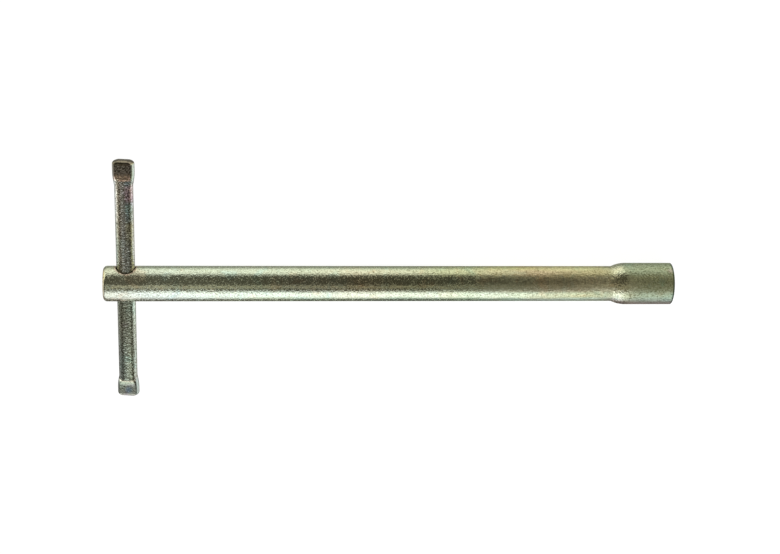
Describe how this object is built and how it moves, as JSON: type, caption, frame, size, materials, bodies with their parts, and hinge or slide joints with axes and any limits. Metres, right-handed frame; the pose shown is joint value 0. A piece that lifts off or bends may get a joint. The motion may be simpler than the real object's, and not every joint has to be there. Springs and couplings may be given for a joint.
{
  "type": "tap wrench",
  "caption": "Tubular T-handle wrench: a long steel tube swaged out into a round hexagon-socket head, with a sliding cross bar at its other end that is kept in by its pressed, flat ends.",
  "frame": {"origin": "centre of the hexagon socket's mouth, on the tube's axis", "axes": "+X out of the socket's mouth along the tube, +Y along the sliding bar, +Z square to both, out of the flat that the T lies in"},
  "size_m": [0.25, 0.11, 0.0184],
  "materials": {
    "shank_plating": "yellow-passivated zinc plating with a green and pink bloom, on a fine pebbled tube",
    "bar_plating": "yellow-passivated zinc plating, darker and browner, on a rough drawn bar"
  },
  "bodies": {
    "wrench_body": {"shank": "shank_plating"},
    "tommy_bar": {"sliding_bar": "bar_plating"}
  },
  "joints": [
    {"name": "bar_slide", "type": "slide", "parent": "wrench_body", "child": "tommy_bar", "axis": [0, 1, 0], "range_m": [-0.0384, 0.0368]}
  ]
}
